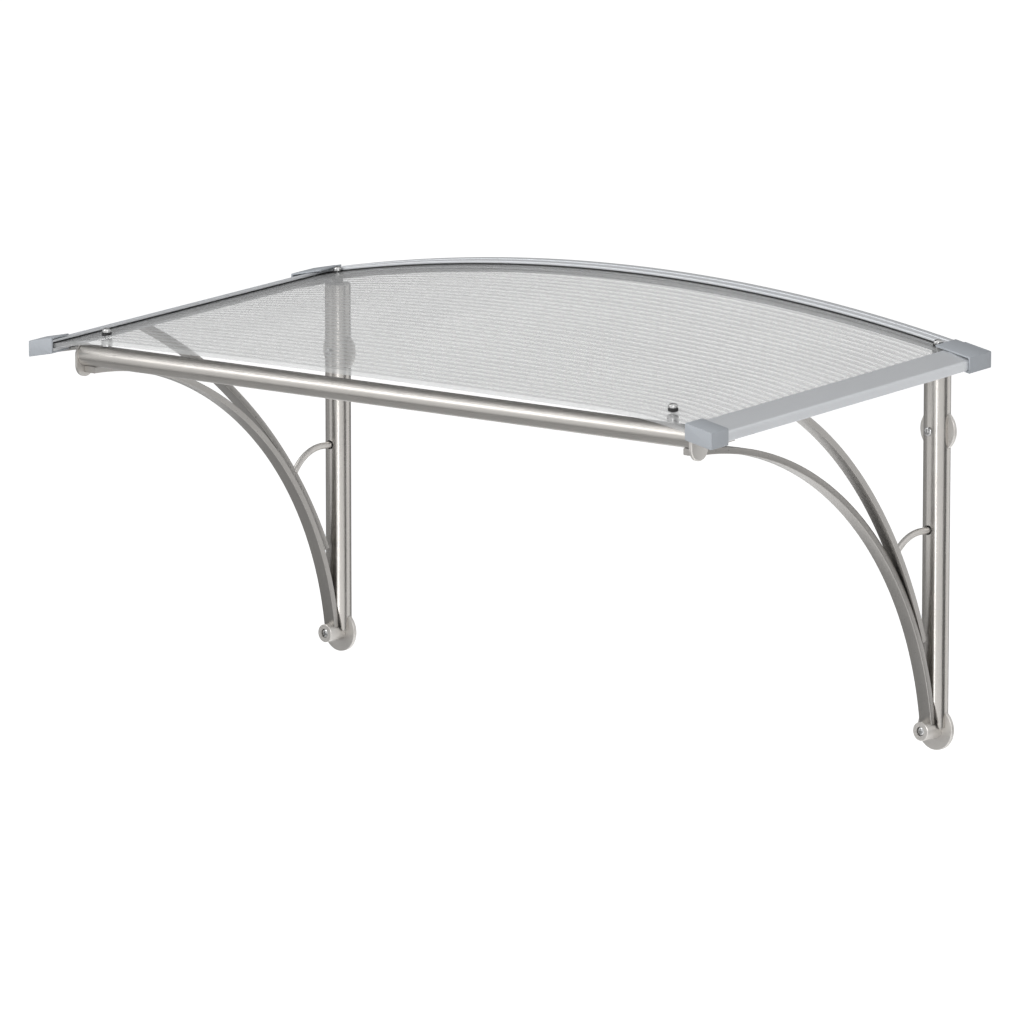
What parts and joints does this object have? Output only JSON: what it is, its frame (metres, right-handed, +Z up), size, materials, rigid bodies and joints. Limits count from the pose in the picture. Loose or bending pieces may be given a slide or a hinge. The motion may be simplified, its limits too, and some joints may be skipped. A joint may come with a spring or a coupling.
{
  "type": "door canopy",
  "caption": "Arched translucent door canopy in an aluminium edge frame, carried by stainless wall brackets with upright posts, arched flat bars and a front tube.",
  "frame": {"origin": "on the wall plane, in the middle of the arched wall rail's back face", "axes": "+X along the wall to the viewer's right, +Y into the wall, +Z up"},
  "size_m": [1.6396, 0.7518, 0.7966],
  "materials": {
    "sheet": "clear twin-wall polycarbonate",
    "steel": "brushed",
    "fastener": "plain turned",
    "aluminium": "satin anodised",
    "cap": "fine satin",
    "rubber": "matt"
  },
  "bodies": {
    "root": {"roof_sheet": "sheet", "wall_rail": "aluminium", "rail_seal": "rubber", "front_tube": "steel", "side_profile_left": "aluminium", "side_profile_right": "aluminium", "side_seal_left": "rubber", "side_seal_right": "rubber", "front_cap_left": "cap", "front_cap_right": "cap", "rear_cap_left": "cap", "rear_cap_right": "cap", "post_left": "steel", "post_right": "steel", "post_plug_left": "steel", "post_plug_right": "steel", "upper_disc_left": "steel", "upper_disc_right": "steel", "upper_screw_left": "fastener", "upper_screw_right": "fastener", "lower_disc_left": "steel", "lower_disc_right": "steel", "lower_pin_left": "steel", "lower_pin_right": "steel", "lower_screw_left": "fastener", "lower_screw_right": "fastener", "front_arch_left": "steel", "front_arch_right": "steel", "side_arch_left": "steel", "side_arch_right": "steel", "strut_left": "steel", "strut_right": "steel", "tube_cap_left": "steel", "tube_cap_right": "steel", "rear_bolt_left": "fastener", "rear_bolt_right": "fastener", "rear_washer_left": "rubber", "rear_washer_right": "rubber", "rear_spacer_left": "rubber", "rear_spacer_right": "rubber", "front_bolt_left": "fastener", "front_bolt_right": "fastener", "front_washer_left": "rubber", "front_washer_right": "rubber", "front_spacer_left": "fastener", "front_spacer_right": "fastener"}
  },
  "joints": []
}
